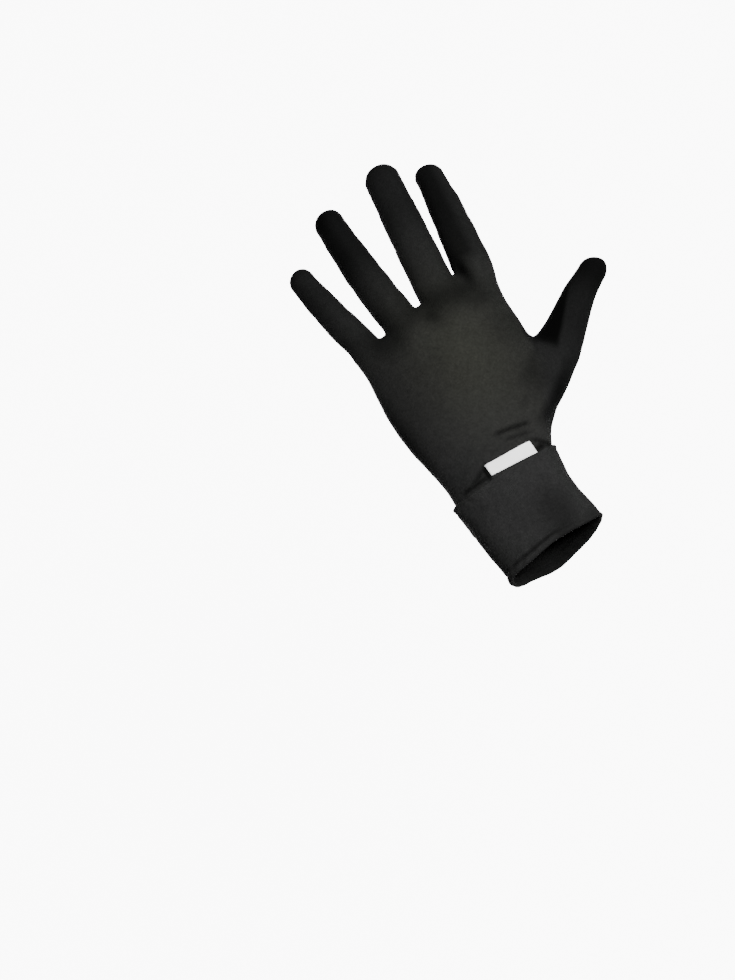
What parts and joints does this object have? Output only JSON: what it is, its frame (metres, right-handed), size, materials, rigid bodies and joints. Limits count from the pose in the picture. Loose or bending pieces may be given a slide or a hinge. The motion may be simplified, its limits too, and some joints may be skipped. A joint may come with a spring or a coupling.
{
  "type": "glove liner",
  "caption": "Thin knitted glove liner for a left hand, held in its worn shape, hollow, with a doubled wrist cuff and a small plain tag on the back.",
  "frame": {"origin": "middle of the wrist seam, where the hand joins the cuff", "axes": "+Y along the wearer's hand from the cuff to the fingertips, +Z out of the back of the hand, +X towards the thumb"},
  "size_m": [0.1508, 0.2463, 0.0453],
  "materials": {
    "knit": "fine matte jersey knit, near-black charcoal",
    "cuff_knit": "the same jersey, doubled, near-black charcoal",
    "tape": "smooth white woven tape, unprinted"
  },
  "bodies": {
    "root": {"hand": "knit", "index_finger": "knit", "middle_finger": "knit", "ring_finger": "knit", "little_finger": "knit", "thumb": "knit", "cuff": "cuff_knit", "tag": "tape"}
  },
  "joints": []
}
